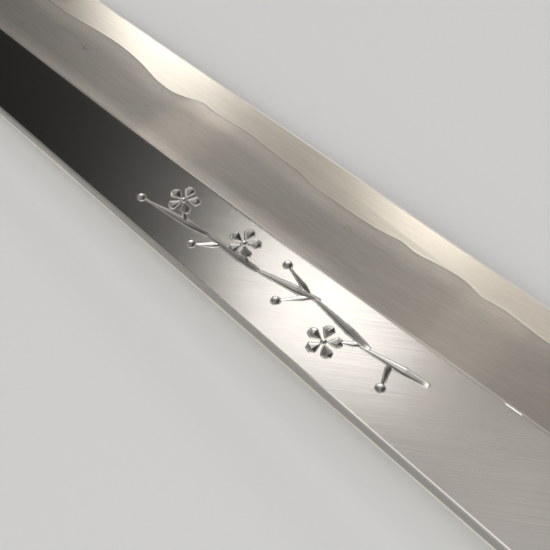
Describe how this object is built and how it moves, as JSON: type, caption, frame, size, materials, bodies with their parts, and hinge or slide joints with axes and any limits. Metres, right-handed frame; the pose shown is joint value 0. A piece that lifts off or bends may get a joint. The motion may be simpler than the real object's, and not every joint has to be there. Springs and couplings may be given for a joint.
{
  "type": "yanagiba knife",
  "caption": "Long single-bevel slicing knife: iron blade faced with hard steel, hollow back, octagonal wooden handle with a horn ferrule.",
  "frame": {"origin": "centre of the whole knife's box in X and Y, at its lowest point in Z", "axes": "+X from the handle's butt to the blade's tip, +Y from the cutting edge to the spine, +Z out of the bevelled front face; the blade's flat back is level, facing -Z"},
  "size_m": [0.43, 0.0382, 0.0215],
  "materials": {
    "soft_iron": "satin flat, stone-hazed bevel",
    "hard_steel": "fine stone polish",
    "magnolia_wood": "bare, hand-rubbed",
    "buffalo_horn": "polished black horn with faint streaks",
    "resin": "dark amber resin"
  },
  "bodies": {
    "root": {"blade_iron": "soft_iron", "edge_steel": "hard_steel", "wood_handle": "magnolia_wood", "horn_ferrule": "buffalo_horn", "tang_seal": "resin"}
  },
  "joints": []
}
